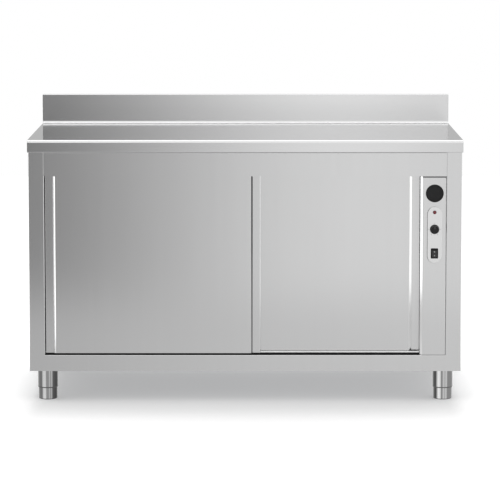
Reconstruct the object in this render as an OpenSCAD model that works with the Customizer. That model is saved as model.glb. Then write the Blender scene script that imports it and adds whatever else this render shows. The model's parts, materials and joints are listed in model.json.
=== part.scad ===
// Floor standing plate warmer cabinet: a folded steel body with two sliding doors, a heated
// chamber with a shelf, a control column at the right and four adjustable feet.
// The front faces -Y, the floor is z = 0 and x = 0 is the middle of the worktop.

/* [Overall size] */
// Width across the worktop
cabinet_w = 1400; // [1200:50:1800]
// Depth of the worktop
cabinet_d = 700; // [600:50:800]
// Height of the worktop above the floor
worktop_h = 850; // [830:10:900]
// Height of the upstand behind the worktop
upstand_h = 100; // [60:10:150]

/* [Worktop] */
// Height of the folded edge round the worktop
fascia_h = 40; // [30:2:50]
// Outer radius of the worktop's front edge
front_edge_r = 10; // [4:1:12]
// Radius where the worktop turns up into the upstand
cove_r = 9; // [4:1:12]
// Thickness of the upstand
upstand_t = 15; // [12:1:25]

/* [Body] */
// Clear height under the body
leg_h = 100; // [100:5:120]
// Width of the upright at each side of the front
stile_w = 50; // [40:1:60]
// Visible height of the rail over the doors
top_rail_h = 77; // [70:1:90]
// Visible height of the rail under the doors
bottom_rail_h = 52; // [45:1:60]
// Thickness of the body's sheet steel
sheet = 1.5; // [1:0.1:1.6]
// Inner radius of a bend in the body's sheet
bend_r = 1; // [0.6:0.1:1.5]

/* [Doors] */
// How far the two closed doors overlap
door_overlap = 178; // [150:1:220]
// Width of the recessed strip at each edge of a door
strip_w = 25; // [20:1:30]
// Width of the sloped step that the fingers pull on
grip_slope_w = 8; // [6:1:10]
// How far the strips lie behind the door's face
strip_recess = 9; // [8:0.5:10]

/* [Control column] */
// Width of the panel that carries the controls
panel_w = 83; // [80:1:95]
// Outside diameter of the round air grille
grille_d = 57.6; // [50:0.2:62]
// Diameter of the thermostat knob
knob_d = 30; // [26:1:36]
// Width of the raised plate round the controls
bezel_w = 47.6; // [44:0.2:52]
// Height of the raised plate round the controls
bezel_h = 183; // [175:1:195]

/* [Chamber] */
// Height of the shelf above the chamber's floor
shelf_h = 300; // [285:15:345]
// Diameter of the circulating fan
fan_d = 120; // [100:5:130]
// Number of blades on the fan
fan_blades = 24; // [12:1:30]

/* [Feet] */
// Diameter of the fixed sleeve
sleeve_d = 65; // [60:1:70]
// Diameter of the screwed foot
foot_d = 61; // [54:1:61]
// Distance from the middle to the feet, along X
foot_x = 643; // [540:1:850]

/* [Hidden] */

// Main planes. The knob stands in front of the worktop, so the middle of the whole depth is y = 0.
bezel_t = 3;
knob_h = 18;
front_overhang = 5;
side_overhang = 3;
knob_proud = knob_h + bezel_t - front_overhang;
front_y = (knob_proud - cabinet_d)/2;
back_y = front_y + cabinet_d;
body_front = front_y + front_overhang;
body_back = back_y - front_overhang;
fascia_z = worktop_h - fascia_h;
body_x = cabinet_w/2 - side_overhang;
opening_x = body_x - stile_w;
opening_z0 = leg_h + bottom_rail_h;
opening_z1 = fascia_z - top_rail_h;
column_x = opening_x - panel_w;
seam = 0.4;
pan_h = 21;

// Doors, from front to back
door_t = 16;
door_sheet = 1;
door_pitch = 19;
door_setback = 4;
door_gap = 0.7;
door_w = (opening_x + column_x + door_overlap)/2 - door_gap;
door_z0 = opening_z0 + 6;
door_z1 = opening_z1 + 32;
front_face = body_front + door_setback;
rear_face = front_face + door_pitch;
front_door_x0 = -opening_x + 2*door_gap + 1;
rear_door_x0 = column_x - door_gap - door_w;
grip_drop = 6;
back_slope_w = 5;

// Hanging gear
roller_r = 12;
roller_w = 6;
roller_bore = 2.05;
pin_r = 2;
hanger_t = 2;
hanger_w = 50;
ledge_z = door_z1 + 8;
roller_z = ledge_z + roller_r + 0.3;
hanger_inset = 110;

// Chamber
chamber_front = body_front + 42;
chamber_back = body_back - 30;
ceiling_z = door_z1;
shelf_z = opening_z0 + shelf_h;
post_w = 20;
post_d = 10;
post_pitch = 30;
post_y = [chamber_front + 25, chamber_back - 25];
bulb_y = chamber_front + 70;
shelf_t = 1.2;
shelf_edge = 30;

// Controls
control_x = opening_x - (panel_w - grip_slope_w)/2;
grille_z = worktop_h - 172;
bezel_top = worktop_h - 215;
pilot_z = bezel_top - 18;
knob_z = bezel_top - 73;
switch_z = bezel_top - 151;
panel_z0 = opening_z0 + 1;
panel_z1 = opening_z1 - 2.5;
rocker_tilt = 7;
pivot_depth = 4;
pivot_r = 1.5;

// Supply lead's strain relief
gland_y = body_back - 150;
gland_r = 8;
lead_r = 5;

// Fan and heater
fan_y = (chamber_front + chamber_back)/2;
fan_z = opening_z0 + 145;
cover_w = 230;
cover_depth = 34;
heater_r = 84;
heater_rod_r = 4;
heater_x = column_x - 17;
heater_tail = 12;
heater_rise = sqrt(heater_r^2 - heater_tail^2);

// Feet
foot_setback = 65;
foot_y = [body_front + foot_setback, body_back - foot_setback];
sleeve_z = 38;
stud_r = 8;
stud_bore = 8.05;

steel = "lightsteelblue";
bright_steel = "silver";
black_plastic = [0.12, 0.12, 0.13];

// Box between two corners
module block(low, high) {
  translate(low) cube(high - low);
}

// Outline drawn in Y and Z, carried along X
module along_x(x0, x1) {
  translate([x0, 0, 0]) rotate([90, 0, 90]) linear_extrude(x1 - x0) children();
}

// Outline drawn in X and Z, carried along Y
module along_y(y0, y1) {
  translate([0, y1, 0]) rotate([90, 0, 0]) linear_extrude(y1 - y0) children();
}

// Cylinder along Y from y0 to y1
module rod_y(x, z, r, y0, y1, fn = 48) {
  translate([x, y1, z]) rotate([90, 0, 0]) cylinder(r = r, h = y1 - y0, $fn = fn);
}

// Cylinder along X from x0 to x1
module rod_x(y, z, r, x0, x1, fn = 48) {
  translate([x0, y, z]) rotate([0, 90, 0]) cylinder(r = r, h = x1 - x0, $fn = fn);
}

// Folded sheet. The path is the corners of one face, and the metal lies to its left.
function unit(v) = v/norm(v);
function left_of(v) = [-v[1], v[0]];
function turned(v, a) = [v[0]*cos(a) - v[1]*sin(a), v[0]*sin(a) + v[1]*cos(a)];
function turn(a, b) = atan2(a[0]*b[1] - a[1]*b[0], a[0]*b[0] + a[1]*b[1]);
function radius_at(r, i) = is_list(r) ? r[i - 1] : r;
function bend_points(path, i, depth, t, r, steps) =
  let (
    into = unit(path[i] - path[i - 1]),
    out = unit(path[i + 1] - path[i]),
    angle = turn(into, out),
    side = sign(angle),
    face_r = radius_at(r, i) + (side > 0 ? t : 0),
    middle = path[i] - into*face_r*tan(abs(angle)/2) + left_of(into)*face_r*side
  )
  [for (k = [0:steps]) middle - turned(left_of(into), angle*k/steps)*side*(face_r - side*depth)];
function face_points(path, depth, t, r, steps) =
  let (last = len(path) - 1)
  concat(
    [path[0] + left_of(unit(path[1] - path[0]))*depth],
    [for (i = [1:last - 1]) each bend_points(path, i, depth, t, r, steps)],
    [path[last] + left_of(unit(path[last] - path[last - 1]))*depth]
  );
function reversed(list) = [for (i = [len(list) - 1:-1:0]) list[i]];
module folded(path, t = sheet, r = bend_r, steps = 4) {
  polygon(concat(face_points(path, 0, t, r, steps), reversed(face_points(path, t, t, r, steps))));
}

// Round slot with its long side upright, as a flat outline
module stadium(w, h) {
  square([w, h - w], center = true);
  for (s = [-1, 1]) translate([0, s*(h - w)/2]) circle(d = w, $fn = 64);
}

// Worktop: one sheet folded from the rear lip over the upstand to the front lip
lip = 20;
worktop_path = [
  [back_y - lip, fascia_z], [back_y, fascia_z], [back_y, worktop_h + upstand_h],
  [back_y - upstand_t, worktop_h + upstand_h], [back_y - upstand_t, worktop_h],
  [front_y, worktop_h], [front_y, fascia_z], [front_y + lip, fascia_z]
];
worktop_bends = [bend_r, bend_r, bend_r, cove_r, front_edge_r - sheet, bend_r];
module worktop_end() {
  along_x(-cabinet_w/2, sheet - cabinet_w/2) {
    polygon(face_points(worktop_path, 0, sheet, worktop_bends, 10));
  }
  block([sheet/2 - cabinet_w/2, front_y + 3, fascia_z], [lip - cabinet_w/2, back_y - 3, fascia_z + sheet]);
}
module worktop() {
  color(steel) {
    along_x(sheet - cabinet_w/2, cabinet_w/2 - sheet) {
      folded(worktop_path, sheet, worktop_bends, 10);
    }
    worktop_end();
    mirror([1, 0, 0]) worktop_end();
  }
}

core_z = fascia_z + 20.5;
module worktop_core() {
  color("burlywood") block(
    [2*sheet - cabinet_w/2, front_y + front_edge_r, core_z],
    [cabinet_w/2 - 2*sheet, back_y - upstand_t - cove_r, worktop_h - sheet]
  );
}

// Three hat channels between the body and the core board
module worktop_stiffeners() {
  crown = core_z - sheet;
  hat = [[-40, fascia_z], [-20, fascia_z], [-20, crown], [20, crown], [20, fascia_z], [40, fascia_z]];
  color("gainsboro") for (i = [-1:1]) {
    translate([i*cabinet_w*0.32, 0, 0]) along_y(front_y + lip + 5, back_y - lip - 5) folded(hat);
  }
}

// Side panel with its front upright and the upright's return beside the doors, cut away over the tray
module side_panel() {
  path = [
    [-body_x + 20, body_back], [-body_x, body_back], [-body_x, body_front],
    [-opening_x, body_front], [-opening_x, chamber_front]
  ];
  difference() {
    translate([0, 0, leg_h]) linear_extrude(fascia_z - leg_h) folded(path, sheet, bend_r, 5);
    block(
      [-opening_x - sheet - bend_r, body_front + sheet, leg_h - 1],
      [-opening_x + 1, chamber_front + 1, leg_h + pan_h]
    );
  }
  block(
    [-body_x + sheet/2, chamber_front, fascia_z - sheet],
    [-body_x + 30, body_back - 2*sheet, fascia_z]
  );
}
module left_side_panel() {
  color(steel) side_panel();
}
module right_side_panel() {
  color(steel) mirror([1, 0, 0]) side_panel();
}

module top_rail() {
  face = body_front + seam;
  path = [[body_front + 38, fascia_z], [face, fascia_z], [face, opening_z1]];
  color(steel) along_x(-opening_x + seam, opening_x - seam) folded(path);
}

module bottom_rail() {
  path = [[chamber_front, opening_z0], [body_front, opening_z0], [body_front, leg_h]];
  color(steel) along_x(-opening_x, opening_x) folded(path);
}

// Back panel, with air slots behind the control column and the heads of its screws
module back_panel() {
  outer = body_back - sheet;
  edge = body_x - sheet - bend_r;
  color(steel) difference() {
    block([-edge, outer - sheet, leg_h + pan_h], [edge, outer, fascia_z]);
    for (i = [0:7]) translate([control_x, 0, fascia_z - 120 - 14*i]) {
      along_y(outer - 3, outer + 1) rotate(90) stadium(5, 60);
    }
  }
  color("dimgray") for (x = [-1, -0.5, 0, 0.5, 1], z = [leg_h + 36, fascia_z - 18]) {
    rod_y(x*(body_x - 35), z, 4, outer, outer + sheet, 32);
  }
}

// Tray under the whole body, with upturned edges
module base_pan() {
  x1 = body_x - sheet - bend_r;
  y0 = body_front + sheet;
  y1 = body_back - sheet;
  color("gainsboro") difference() {
    block([-x1, y0, leg_h], [x1, y1, leg_h + pan_h]);
    block([sheet - x1, y0 + sheet, leg_h + sheet], [x1 - sheet, y1 - sheet, leg_h + pan_h + 1]);
    translate([control_x, gland_y, leg_h - 1]) cylinder(r = gland_r, h = 4, $fn = 48);
  }
}

module left_liner() {
  color(bright_steel) {
    block([-opening_x - sheet, chamber_front, opening_z0], [-opening_x, chamber_back, ceiling_z]);
  }
}

// Wall between the chamber and the control column, bored for the motor shaft and the heater's ends
module partition() {
  x0 = column_x - 1;
  x1 = column_x + 3;
  color(bright_steel) difference() {
    block(
      [column_x, chamber_front, leg_h + sheet],
      [column_x + sheet, body_back - 2*sheet, fascia_z - sheet]
    );
    rod_x(fan_y, fan_z, 10, x0, x1);
    for (s = [-1, 1]) rod_x(fan_y + s*heater_tail, fan_z + heater_rise, heater_rod_r + 1.3, x0, x1);
    rod_x(bulb_y, knob_z, 3, x0, x1, 32);
  }
}

module rear_liner() {
  color(bright_steel) {
    block([-opening_x, chamber_back, opening_z0], [column_x, chamber_back + sheet, ceiling_z]);
  }
}

module ceiling_liner() {
  top = ceiling_z + sheet;
  path = [[chamber_back, top], [chamber_front, top], [chamber_front, fascia_z - sheet]];
  color(bright_steel) along_x(-opening_x, column_x) folded(path);
}

module chamber_floor() {
  drop = opening_z0 - 25;
  path = [
    [chamber_back, drop], [chamber_back, opening_z0], [chamber_front, opening_z0], [chamber_front, drop]
  ];
  color(bright_steel) along_x(-opening_x, column_x) folded(path);
}

// Mineral wool between the chamber and the outer sheets
module insulation() {
  bottom = leg_h + 25;
  top = fascia_z - 2*sheet;
  left = -opening_x - sheet;
  back = chamber_back + sheet;
  color("khaki") {
    block([-body_x + sheet, chamber_front, bottom], [left, chamber_back, top]);
    block([-body_x + sheet, back, bottom], [column_x, body_back - 2*sheet, top]);
    block([left + 1, chamber_front + 1, ceiling_z + sheet], [column_x, chamber_back, top]);
    block([left + 1, chamber_front + 5, bottom], [column_x, chamber_back - 5, opening_z0 - sheet]);
  }
}

// Shelf with folded edges and two channels under it
module shelf() {
  x0 = -opening_x + post_d + 2;
  x1 = column_x - post_d - 2;
  y0 = chamber_front + 12;
  y1 = chamber_back - 12;
  low = shelf_z - shelf_edge;
  under = shelf_z - 2*shelf_t;
  path = [[y1 - 20, low], [y1, low], [y1, shelf_z], [y0, shelf_z], [y0, low], [y0 + 20, low]];
  brace = [[-35, under], [-20, under], [-20, low], [20, low], [20, under], [35, under]];
  color(bright_steel) {
    along_x(x0, x1) folded(path, shelf_t, bend_r, 3);
    for (s = [-1, 1]) {
      translate([0, (y0 + y1)/2 + s*0.25*(y1 - y0), 0]) along_x(x0, x1) folded(brace, shelf_t, bend_r, 3);
    }
  }
}

// One slotted post, open towards the wall behind it
module post() {
  height = ceiling_z - opening_z0;
  slots = floor((height - 60)/post_pitch);
  difference() {
    block([0, -post_w/2, opening_z0], [post_d, post_w/2, ceiling_z]);
    block([-1, sheet - post_w/2, opening_z0 - 1], [post_d - sheet, post_w/2 - sheet, ceiling_z + 1]);
    for (i = [0:slots]) {
      block([post_d - 2, -5, opening_z0 + 30 + i*post_pitch], [post_d + 1, 5, opening_z0 + 34 + i*post_pitch]);
    }
  }
}
module shelf_uprights() {
  color(bright_steel) for (y = post_y) {
    translate([-opening_x, y, 0]) post();
    translate([column_x, y, 0]) mirror([1, 0, 0]) post();
  }
}

// Clip whose tongue sits in a post's slot and whose arm carries the shelf's folded edge
module clip() {
  z1 = shelf_z - shelf_edge;
  tongue_z = opening_z0 + 30 + post_pitch*round((z1 - opening_z0 - 38)/post_pitch);
  block([post_d, -8, tongue_z - 12], [post_d + 1.8, 8, z1]);
  block([post_d - 4, -4, tongue_z + 0.5], [post_d, 4, tongue_z + 3.5]);
  block([post_d + 1.8, -8, z1 - 2], [post_d + 16, 8, z1]);
}
module shelf_clips() {
  color("dimgray") for (y = post_y) {
    translate([-opening_x, y, 0]) clip();
    translate([column_x, y, 0]) mirror([1, 0, 0]) clip();
  }
}

// Double track: each door's rollers run on their own ledge
module top_track() {
  web = body_front + 16;
  top = fascia_z - sheet;
  color("gainsboro") along_x(-opening_x + 1, column_x - 1) {
    translate([body_front + 3, top - 2.5]) square([web + door_pitch + 1.5 - body_front - 3, 2.5]);
    for (k = [0, 1]) translate([web + k*door_pitch, ledge_z - 2]) {
      square([1.5, top - ledge_z]);
      translate([-8, 0]) square([9.5, 2]);
    }
  }
}

// Guide on the bottom rail, with one fin for each door
module bottom_guide() {
  color("gray") along_x(-opening_x + 1, column_x - 1) {
    translate([body_front + 14, opening_z0]) square([chamber_front - body_front - 15, 2]);
    for (k = [0, 1]) translate([body_front + 15.5 + k*door_pitch, opening_z0 + 2]) square([2, 9]);
  }
}

// Outer skin of a door whose outer edge is at x0 and whose face is at y
// The outer edge has the sloped grip and the inner edge a steeper fold.
module door_skin(y) {
  recess = y + strip_recess;
  end = y + door_t - door_sheet;
  grip = strip_w + grip_slope_w;
  back = door_w - strip_w;
  path = [
    [0, end], [0, recess], [strip_w, recess], [strip_w, y + grip_drop], [grip, y],
    [back - back_slope_w, y], [back, recess], [door_w, recess], [door_w, end]
  ];
  difference() {
    translate([0, 0, door_z0]) linear_extrude(door_z1 - door_z0) folded(path, door_sheet, 0.6, 4);
    guide_slot(y);
  }
}

// Slot along a door's bottom edge that the guide's fin runs in
module guide_slot(y) {
  block([-1, y + 10.3, door_z0 - 1], [door_w + 1, y + 14.7, door_z0 + 10]);
}

// Filling between a door's sheets, notched for the hangers
module door_core(y) {
  difference() {
    block(
      [strip_w + grip_slope_w + 3, y + door_sheet, door_z0 + 14],
      [door_w - strip_w - back_slope_w - 3, y + door_t - door_sheet, door_z1 - door_sheet]
    );
    hangers(y, 0.4);
  }
}

// Inner sheet of a door, with its top edge folded forward
module door_liner(y) {
  back = y + door_t;
  grip = strip_w + grip_slope_w + 3;
  block([1, back - door_sheet, door_z0], [door_w - 1, back, door_z1]);
  difference() {
    block([grip, y + door_sheet, door_z1 - door_sheet], [door_w - grip, back, door_z1]);
    hangers(y, 0.2);
  }
}

// A door's two hanger plates, each with a pin for its roller
module hangers(y, grow = 0) {
  for (x = [hanger_inset, door_w - hanger_inset]) {
    block(
      [x - hanger_w/2 - grow, y + door_sheet - grow, door_z1 - 35 - grow],
      [x + hanger_w/2 + grow, y + door_sheet + hanger_t + grow, roller_z + 8]
    );
    if (grow == 0) {
      rod_y(x, roller_z, pin_r, y + door_sheet + hanger_t, y + 10);
      rod_y(x, roller_z, pin_r + 2, y + 9.8, y + 10.8);
    }
  }
}

// Roller with a hub on each side of its tyre
module roller(x, y) {
  mid = y + 6.5;
  color("ivory") difference() {
    union() {
      rod_y(x, roller_z, roller_r, mid - 2.5, mid + 2.5, 96);
      rod_y(x, roller_z, 4, mid - roller_w/2, mid + roller_w/2);
    }
    rod_y(x, roller_z, roller_bore, mid - 4, mid + 4);
  }
}

module at_front_door() {
  translate([front_door_x0, 0, 0]) children();
}
module at_rear_door() {
  translate([rear_door_x0 + door_w, 0, 0]) mirror([1, 0, 0]) children();
}

module front_door_skin() {
  color(steel) at_front_door() door_skin(front_face);
}
module front_door_core() {
  color("khaki") at_front_door() door_core(front_face);
}
module front_door_liner() {
  color(bright_steel) at_front_door() door_liner(front_face);
}
module front_door_hangers() {
  color("dimgray") at_front_door() hangers(front_face);
}
module rear_door_skin() {
  color(steel) at_rear_door() door_skin(rear_face);
}
module rear_door_core() {
  color("khaki") at_rear_door() door_core(rear_face);
}
module rear_door_liner() {
  color(bright_steel) at_rear_door() door_liner(rear_face);
}
module rear_door_hangers() {
  color("dimgray") at_rear_door() hangers(rear_face);
}
module front_roller_left() {
  roller(front_door_x0 + hanger_inset, front_face);
}
module front_roller_right() {
  roller(front_door_x0 + door_w - hanger_inset, front_face);
}
module rear_roller_left() {
  roller(rear_door_x0 + hanger_inset, rear_face);
}
module rear_roller_right() {
  roller(rear_door_x0 + door_w - hanger_inset, rear_face);
}

// Panel of the control column, cut for the air grille, the lamp, the thermostat and the switch
module control_panel() {
  slope_back = body_front + grip_drop;
  path = [
    [column_x, chamber_front], [column_x, slope_back], [column_x + grip_slope_w, body_front],
    [opening_x - seam, body_front], [opening_x - seam, body_front + 15]
  ];
  y0 = body_front - 1;
  y1 = body_front + 3;
  color(steel) difference() {
    translate([0, 0, panel_z0]) linear_extrude(panel_z1 - panel_z0) folded(path);
    rod_y(control_x, grille_z, grille_d/2 - 5, y0, y1, 64);
    rod_y(control_x, pilot_z, 5, y0, y1);
    rod_y(control_x, knob_z, 6, y0, y1);
    block([control_x - 10.5, y0, switch_z - 15], [control_x + 10.5, y1, switch_z + 15]);
  }
}

// Raised plate with round ends that frames the lamp, the thermostat and the switch
module control_bezel() {
  mid = bezel_top - bezel_h/2;
  y0 = body_front - bezel_t;
  color(bright_steel) difference() {
    translate([control_x, 0, mid]) along_y(y0, body_front) stadium(bezel_w, bezel_h);
    rod_y(control_x, pilot_z, 5, y0 - 1, body_front + 1);
    rod_y(control_x, knob_z, 6, y0 - 1, body_front + 1);
    block([control_x - 10.5, y0 - 1, switch_z - 15], [control_x + 10.5, body_front + 1, switch_z + 15]);
  }
}

// Round grille: a rim and a field of holes in a hexagonal pattern
module vent_grille() {
  pitch = 5;
  hole = 3.6;
  rings = 4;
  y0 = body_front - 3;
  color(black_plastic) translate([control_x, 0, grille_z]) difference() {
    union() {
      rod_y(0, 0, grille_d/2, body_front - 1.5, body_front, 96);
      rod_y(0, 0, grille_d/2 - 1.5, y0, body_front - 1.5, 96);
      rod_y(0, 0, grille_d/2 - 5.2, body_front, body_front + 6, 96);
    }
    rod_y(0, 0, grille_d/2 - 4.5, y0 - 1, y0 + 1, 96);
    rod_y(0, 0, grille_d/2 - 6.2, y0 + 2.5, body_front + 7, 96);
    for (i = [-rings:rings], j = [-rings:rings]) if (abs(i + j) <= rings) {
      rod_y(pitch*(i + j/2), pitch*j*sin(60), hole/2, y0, y0 + 4, 24);
    }
  }
}

// Pilot lamp: a domed lens on a short barrel
module pilot_light() {
  y0 = body_front - bezel_t;
  color("darkred") translate([control_x, y0, pilot_z]) rotate([90, 0, 0]) {
    rotate_extrude($fn = 64) polygon(concat(
      [[0, -14], [4.8, -14], [4.8, 0], [6, 0], [6, 1.2]],
      [for (a = [0:15:75]) [5.4*cos(a), 1.6 + 3.2*sin(a)]],
      [[0, 4.8]]
    ));
  }
}

// Thermostat knob: fluted skirt, cap and shaft
module thermostat_knob() {
  y0 = body_front - bezel_t - 0.6;
  flutes = 18;
  color(black_plastic) {
    difference() {
      translate([control_x, y0, knob_z]) rotate([90, 0, 0]) {
        rotate_extrude($fn = 96) polygon([
          [0, 0], [knob_d/2, 0], [knob_d/2, 3], [knob_d/2 - 1.8, 4.5], [knob_d/2 - 2.6, knob_h - 2.1],
          [knob_d/2 - 4.1, knob_h - 0.8], [0, knob_h - 0.8]
        ]);
      }
      for (i = [0:flutes - 1]) {
        rod_y(
          control_x + (knob_d/2 - 1)*cos((i + 0.5)*360/flutes), knob_z + (knob_d/2 - 1)*sin((i + 0.5)*360/flutes),
          1.1, y0 - knob_h - 1, y0 - 4.5, 24
        );
      }
    }
    rod_y(control_x, knob_z, 3, y0, body_front + 12);
  }
  color("white") block(
    [control_x - 0.6, y0 - knob_h + 0.6, knob_z + 3],
    [control_x + 0.6, y0 - knob_h + 1, knob_z + knob_d/2 - 4.4]
  );
}

// Thermostat behind the panel, with a bore for the knob's shaft
module thermostat_body() {
  y0 = body_front + sheet;
  color("gainsboro") difference() {
    union() {
      block([control_x - 19, y0, knob_z - 16], [control_x + 19, y0 + 3, knob_z + 16]);
      rod_y(control_x, knob_z, 17, y0 + 3, y0 + 26, 64);
      for (x = [-8, 8]) block([control_x + x - 3, y0 + 26, knob_z - 4], [control_x + x + 3, y0 + 36, knob_z - 3]);
    }
    rod_y(control_x, knob_z, 3.05, y0 - 1, y0 + 13);
  }
}

// Capillary from the thermostat through the partition to the bulb in the chamber
module thermostat_bulb() {
  y0 = body_front + sheet + 26;
  color("peru") {
    rod_y(control_x, knob_z, 1.2, y0, bulb_y, 24);
    translate([control_x, bulb_y, knob_z]) sphere(r = 1.2, $fn = 24);
    rod_x(bulb_y, knob_z, 1.2, column_x - 8, control_x, 24);
    translate([column_x - 8, bulb_y, knob_z]) sphere(r = 1.2, $fn = 24);
    rod_y(column_x - 8, knob_z, 3, bulb_y, bulb_y + 80);
    for (y = [20, 60]) block(
      [column_x - 8, bulb_y + y - 4, knob_z + 2.5], [column_x, bulb_y + y + 4, knob_z + 3.5]
    );
  }
}

// Frame of the rocker switch and its body behind the panel
module switch_frame() {
  y0 = body_front - bezel_t;
  color(black_plastic) difference() {
    union() {
      block([control_x - 12, y0 - 2, switch_z - 16.5], [control_x + 12, y0, switch_z + 16.5]);
      block([control_x - 10.3, y0, switch_z - 14.8], [control_x + 10.3, body_front + 22, switch_z + 14.8]);
    }
    block([control_x - 8, y0 - 3, switch_z - 12], [control_x + 8, y0 + 12, switch_z + 12]);
    rod_x(y0 + pivot_depth, switch_z, pivot_r + 0.1, control_x - 9.2, control_x + 9.2, 32);
  }
}

// Rocker: two faces that meet in a shallow V, on two stub pins in the frame's sides
module switch_rocker() {
  color("gray") translate([control_x, body_front - bezel_t + pivot_depth, switch_z]) rotate([rocker_tilt, 0, 0]) {
    rod_x(0, 0, pivot_r, -9, 9, 32);
    translate([-7.5, 0, 0]) rotate([90, 0, 90]) linear_extrude(15) polygon([
      [-8, -11.3], [-5.2, 0], [-8, 11.3], [-1, 9], [3, 4], [3, -4], [-1, -9]
    ]);
  }
}

// Cover over the fan and the heater, with round inlets in front of the fan and slots at the sides
module fan_cover() {
  x0 = column_x - cover_depth;
  half = cover_w/2;
  color(bright_steel) translate([0, fan_y, fan_z]) difference() {
    block([x0, -half, -half], [column_x, half, half]);
    block([x0 + shelf_t, shelf_t - half, shelf_t - half], [column_x + 1, half - shelf_t, half - shelf_t]);
    for (i = [-3:3], j = [-3:3]) if (abs(i + j) <= 3) {
      rod_x(14*(i + j/2), 14*j*sin(60), 5, x0 - 1, x0 + 3, 24);
    }
    for (s = [-1, 1], i = [-4:4]) {
      block([x0 + 9, min(s*half, s*(half - 3)), i*22 - 6], [x0 + 25, max(s*half, s*(half - 3)) + 1, i*22 + 6]);
    }
  }
}

module fan_motor() {
  x0 = column_x + sheet;
  color("dimgray") difference() {
    union() {
      rod_x(fan_y, fan_z, 40, x0, x0 + 3, 64);
      rod_x(fan_y, fan_z, 31, x0 + 3, x0 + 52, 64);
      for (i = [0:7]) rod_x(fan_y, fan_z, 34, x0 + 8 + 5.5*i, x0 + 10.5 + 5.5*i, 64);
      rod_x(fan_y, fan_z, 12, x0 + 52, x0 + 60);
    }
    rod_x(fan_y, fan_z, 4.05, x0 - 1, x0 + 40);
  }
}

// Radial fan: back plate, hub, shaft, forward curved blades and a front ring
module fan_impeller() {
  x1 = column_x - 6;
  x0 = x1 - 20;
  hub = 14;
  rim = fan_d/2;
  color(bright_steel) {
    rod_x(fan_y, fan_z, rim, x1 - 1.2, x1, 96);
    rod_x(fan_y, fan_z, hub, x0 + 6, x1 - 1.2);
    rod_x(fan_y, fan_z, 4, x1, column_x + sheet + 38);
    translate([x0, fan_y, fan_z]) rotate([0, 90, 0]) {
      difference() {
        cylinder(r = rim, h = 1.2, $fn = 96);
        translate([0, 0, -1]) cylinder(r = rim - 12, h = 4, $fn = 96);
      }
      for (i = [0:fan_blades - 1]) rotate(i*360/fan_blades) {
        translate([rim - 11.5, 0, 1]) rotate(35) translate([0, -0.5, 0]) cube([12, 1, 18]);
      }
    }
  }
}

// Heater: a rod bent round the fan, whose ends sit in two fittings through the partition
module heating_element() {
  bend = asin(heater_tail/heater_r);
  color("dimgray") translate([heater_x, fan_y, fan_z]) {
    rotate([0, 90, 0]) rotate(180 + bend) rotate_extrude(angle = 360 - 2*bend, $fn = 128) {
      translate([heater_r, 0]) circle(r = heater_rod_r, $fn = 32);
    }
    for (s = [-1, 1]) rod_x(s*heater_tail, heater_rise, heater_rod_r + 1.2, -6.5, column_x - heater_x + 25);
  }
}

// Terminal block on the partition, with a screw over each pole
module terminal_block() {
  x0 = column_x + sheet;
  color("ivory") for (i = [0:4]) translate([x0, gland_y - 60 + 13*i, leg_h + 120]) difference() {
    block([0, 0, 0], [22, 12.6, 26]);
    for (z = [7, 19]) rod_x(6.3, z, 3, 14, 23, 32);
  }
}

// Strain relief for the supply lead, under the base at the rear of the column
module cable_gland() {
  color(black_plastic) translate([control_x, gland_y, leg_h]) difference() {
    union() {
      translate([0, 0, -14]) cylinder(r1 = 8, r2 = 11, h = 9, $fn = 64);
      translate([0, 0, -5]) cylinder(r = 13, h = 5, $fn = 6);
      cylinder(r = gland_r - 0.1, h = 12, $fn = 64);
      translate([0, 0, sheet]) cylinder(r = 12, h = 5, $fn = 6);
    }
    translate([0, 0, -15]) cylinder(r = lead_r, h = 30, $fn = 64);
  }
}

// Plates inside the base that spread each foot's load, with the nut on its stud
module leg_plates() {
  color("dimgray") for (x = [-foot_x, foot_x], y = foot_y) translate([x, y, leg_h + sheet]) {
    block([-42, -42, 0], [42, 42, 4]);
    translate([0, 0, 4]) cylinder(r = 11, h = 8, $fn = 6);
    for (i = [-1, 1], j = [-1, 1]) translate([i*32, j*32, 4]) cylinder(r = 5, h = 3, $fn = 32);
  }
}

// Fixed sleeve of a foot: a tube with a chamfered lower edge and a bush for the stud
module foot_sleeve(x, y) {
  r = sleeve_d/2;
  inner = foot_d/2 + 0.5;
  color(bright_steel) translate([x, y, 0]) rotate_extrude($fn = 128) polygon([
    [inner, sleeve_z], [r - 1, sleeve_z], [r, sleeve_z + 3], [r, leg_h], [stud_bore, leg_h],
    [stud_bore, sleeve_z + 30], [inner, sleeve_z + 30]
  ]);
}

// Screwed foot: a pad with a rounded lower edge under a plain barrel, and its stud
module screwed_foot(x, y) {
  r = foot_d/2;
  round = 4;
  color(bright_steel) translate([x, y, 0]) rotate_extrude($fn = 128) polygon(concat(
    [[0, 0]],
    [for (a = [-90:15:0]) [r - round + round*cos(a), round + round*sin(a)]],
    [[r, sleeve_z + 24], [stud_r, sleeve_z + 24], [stud_r, leg_h - 2], [0, leg_h - 2]]
  ));
}

module sleeve_front_left() {
  foot_sleeve(-foot_x, foot_y[0]);
}
module sleeve_front_right() {
  foot_sleeve(foot_x, foot_y[0]);
}
module sleeve_rear_left() {
  foot_sleeve(-foot_x, foot_y[1]);
}
module sleeve_rear_right() {
  foot_sleeve(foot_x, foot_y[1]);
}
module foot_front_left() {
  screwed_foot(-foot_x, foot_y[0]);
}
module foot_front_right() {
  screwed_foot(foot_x, foot_y[0]);
}
module foot_rear_left() {
  screwed_foot(-foot_x, foot_y[1]);
}
module foot_rear_right() {
  screwed_foot(foot_x, foot_y[1]);
}

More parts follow.
